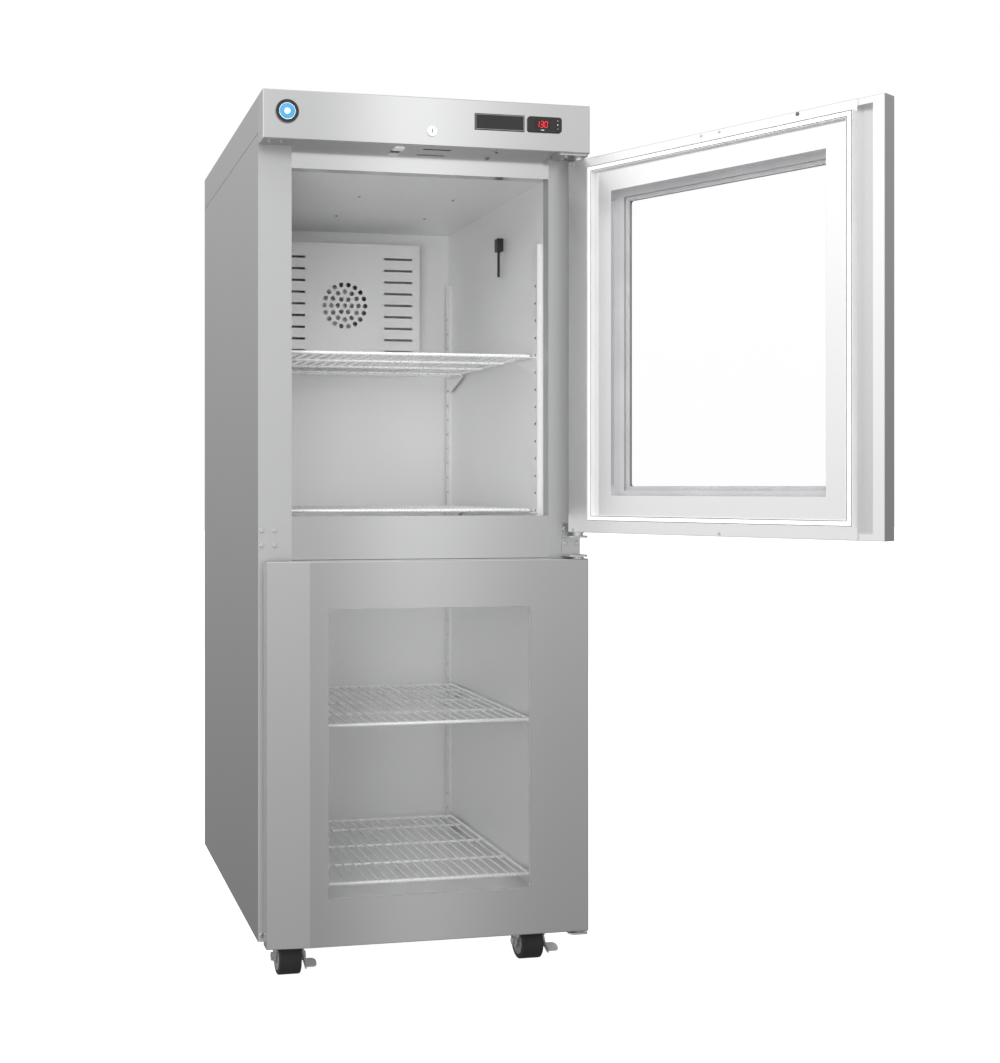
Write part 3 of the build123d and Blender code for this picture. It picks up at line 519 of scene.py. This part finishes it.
def gasket_shade_strips():
    """Two dark strips along each gasket, against the face frame: painted shade along the gasket's edges."""
    half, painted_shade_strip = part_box("lower_door_gasket")[1].x, 0.0015
    for door, turn in (("lower_door", None), ("upper_door", SWING)):
        low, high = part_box(door + "_gasket")
        bm = bmesh.new()
        # these dark strips are painted shade along both edges of the gasket
        for inset in (0.0006, 0.0098):
            border(bm, (inset - half, half - inset), (low.z + inset, high.z - inset),
                   (FACE - 0.0008, FACE - 0.00015), painted_shade_strip)
        add_piece(door + "_gasket_shade_strips", bm, "painted_shade_strip", door, turn)


def hub_rings():
    """Moulded rings on both faces of each caster wheel's hub."""
    profile = [(0.0285, -0.0004), (0.0285, 0.0003), (0.0275, 0.0006), (0.0175, 0.0006), (0.0165, 0.0002),
               (0.0125, 0.0002), (0.0120, 0.0007), (0.0100, 0.0007), (0.0100, -0.0004)]
    for row in ("front", "rear"):
        for side in ("left", "right"):
            wheel = "caster_%s_%s_wheel" % (row, side)
            low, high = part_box(wheel)
            middle = (low + high) / 2
            reach = (high.x - low.x) / 2 - 0.0001
            bm = bmesh.new()
            for way in (-1, 1):
                turned(bm, profile, middle + Vector((way * reach, 0, 0)), (way, 0, 0), 48)
            add_piece(wheel + "_hub_rings", bm, "hub", wheel)


badge()
name_plate()
controller()
key_symbols()
cabinet_fittings()
door_screws()
gasket_shade_strips()
hub_rings()


# ---------------------------------------------------------------- stage, light and camera
FLOOR_REACH = 30.0


def flat_stage(name, reach, mat):
    """A square floor at height 0 that reaches that far each way."""
    corners = [(-reach, -reach, 0), (reach, -reach, 0), (reach, reach, 0), (-reach, reach, 0)]
    mesh = bpy.data.meshes.new(name)
    mesh.from_pydata(corners, [], [(0, 1, 2, 3)])
    obj = bpy.data.objects.new(name, mesh)
    scene.collection.objects.link(obj)
    obj.data.materials.append(mat)


def floor_material():
    """White to the eye with a faint shadow, grey to what it lights, and not seen in mirrors."""
    mat = bpy.data.materials.new("stage_floor")
    mat.use_nodes = True
    tree = mat.node_tree
    tree.nodes.clear()
    out = tree.nodes.new("ShaderNodeOutputMaterial")
    seen = tree.nodes.new("ShaderNodeEmission")
    seen.inputs["Strength"].default_value = 0.92
    lit = tree.nodes.new("ShaderNodeBsdfDiffuse")
    lit.inputs["Color"].default_value = (0.4, 0.4, 0.4, 1)
    both = tree.nodes.new("ShaderNodeAddShader")
    pick = tree.nodes.new("ShaderNodeMixShader")
    path = tree.nodes.new("ShaderNodeLightPath")
    clear = tree.nodes.new("ShaderNodeBsdfTransparent")
    mirrored = tree.nodes.new("ShaderNodeMixShader")
    tree.links.new(seen.outputs[0], both.inputs[0])
    tree.links.new(lit.outputs[0], both.inputs[1])
    tree.links.new(path.outputs["Is Glossy Ray"], mirrored.inputs[0])
    tree.links.new(lit.outputs[0], mirrored.inputs[1])
    tree.links.new(clear.outputs[0], mirrored.inputs[2])
    tree.links.new(path.outputs["Is Camera Ray"], pick.inputs[0])
    tree.links.new(mirrored.outputs[0], pick.inputs[1])
    tree.links.new(both.outputs[0], pick.inputs[2])
    tree.links.new(pick.outputs[0], out.inputs[0])
    return mat


def stops(tree, value, points):
    """A grey ramp with any number of (position, value) stops."""
    node = tree.nodes.new("ShaderNodeValToRGB")
    elements = node.color_ramp.elements
    while len(elements) < len(points):
        elements.new(0.5)
    for element, (at, shade) in zip(elements, sorted(points)):
        element.position = at
        element.color = (shade, shade, shade, 1)
    tree.links.new(value, node.inputs[0])
    return node.outputs[0]


# the walls' brightness by bearing in degrees from -Y towards +X, and by degrees above the horizon
WORLD_BANDS = [(-180, 0.34), (-175, 0.38), (-168, 0.45), (-150, 0.66), (-110, 1.0), (-90, 1.0), (-70, 1.0),
               (-40, 0.95), (-10, 0.92), (4, 0.92), (8, 0.86), (10.5, 0.7), (12.2, 0.47), (13.6, 0.72),
               (15.8, 1.32), (17, 1.3), (18.6, 0.92), (20.5, 0.7), (22.5, 0.62), (25, 0.76), (35, 0.62),
               (60, 0.5), (80, 0.37), (95, 0.37), (110, 0.6), (140, 0.6), (156, 0.3), (161.5, 0.6),
               (164, 1.3), (166.5, 0.6), (170, 0.3), (180, 0.4)]
WORLD_HEIGHTS = [(-90, 0.4), (-50, 0.45), (-24, 0.52), (-16, 0.6), (-10, 0.7), (-3, 0.84),
                 (5, 1.0), (15, 1.24), (30, 1.3), (90, 1.2)]


def studio_world():
    """A studio that is white to the eye; its walls are a set of soft bands for the steel to mirror."""
    world = bpy.data.worlds.new("studio")
    scene.world = world
    world.use_nodes = True
    tree = world.node_tree
    tree.nodes.clear()
    out = tree.nodes.new("ShaderNodeOutputWorld")
    place = tree.nodes.new("ShaderNodeTexCoord")
    split = tree.nodes.new("ShaderNodeSeparateXYZ")
    tree.links.new(place.outputs["Generated"], split.inputs[0])
    x, y, z = split.outputs
    round_turn = maths(tree, "ARCTAN2", x, maths(tree, "MULTIPLY", y, -1.0))
    bearing = maths(tree, "ADD", maths(tree, "DIVIDE", round_turn, math.tau), 0.5)
    rise = maths(tree, "ADD", maths(tree, "DIVIDE", maths(tree, "ARCSINE", z, 0.0), math.pi), 0.5)
    # a ramp's colours stop at 1, so both ramps hold halves, and their product is made four times as large
    bands = stops(tree, bearing, [(0.5 + a / 360, v / 2) for a, v in WORLD_BANDS])
    heights = stops(tree, rise, [(0.5 + a / 180, v / 2) for a, v in WORLD_HEIGHTS])
    level = maths(tree, "MULTIPLY", maths(tree, "MULTIPLY", bands, heights), 4.0)
    ambient = tree.nodes.new("ShaderNodeBackground")
    ambient.inputs["Color"].default_value = (1, 1, 1, 1)
    tree.links.new(level, ambient.inputs["Strength"])
    seen = tree.nodes.new("ShaderNodeBackground")
    seen.inputs["Color"].default_value = (1, 1, 1, 1)
    pick = tree.nodes.new("ShaderNodeMixShader")
    path = tree.nodes.new("ShaderNodeLightPath")
    tree.links.new(path.outputs["Is Camera Ray"], pick.inputs[0])
    tree.links.new(ambient.outputs[0], pick.inputs[1])
    tree.links.new(seen.outputs[0], pick.inputs[2])
    tree.links.new(pick.outputs[0], out.inputs[0])


def area(name, place, target, size, power):
    """A soft lamp that shades but isn't seen in mirrors: the studio's bands are what the steel mirrors."""
    data = bpy.data.lights.new(name, "AREA")
    data.shape = "RECTANGLE"
    data.size, data.size_y = size
    data.energy = power
    obj = bpy.data.objects.new(name, data)
    scene.collection.objects.link(obj)
    obj.location = place
    obj.rotation_euler = (Vector(target) - Vector(place)).to_track_quat("-Z", "Y").to_euler()
    obj.visible_glossy = False


flat_stage("studio_floor", FLOOR_REACH, floor_material())
studio_world()
area("key_light", (-2.6, -3.2, 3.0), (0, -0.4, 0.9), (2.4, 2.4), 16)
area("fill_light", (4.2, -2.2, 1.6), (0.1, -0.4, 1.0), (2.0, 2.6), 8)
area("inside_light", (-0.9, -3.4, 3.1), (0.1, 0.1, 1.3), (1.8, 1.2), 34)
area("lower_light", (-1.3, -2.6, 0.9), (0.1, 0.1, 1.2), (1.0, 1.0), 42)
area("top_light", (0.3, -1.0, 3.6), (0.1, -0.2, 1.0), (3.0, 2.0), 26)
area("back_light", (1.8, 4.2, 2.6), (0.0, 0.4, 0.9), (2.4, 2.4), 70)

camera_data = bpy.data.cameras.new("camera")
camera_data.sensor_width = 36.0
camera_data.sensor_fit = "AUTO"
camera_data.lens = 47.342
camera_data.shift_x = 0.2048
camera_data.shift_y = -0.0416
camera = bpy.data.objects.new("camera", camera_data)
scene.collection.objects.link(camera)
camera.location = (-0.84515, -3.2206, 1.0332)
camera.rotation_euler = Euler((math.radians(90), 0, math.radians(-10.972)))
scene.camera = camera
scene.view_settings.view_transform = "Standard"
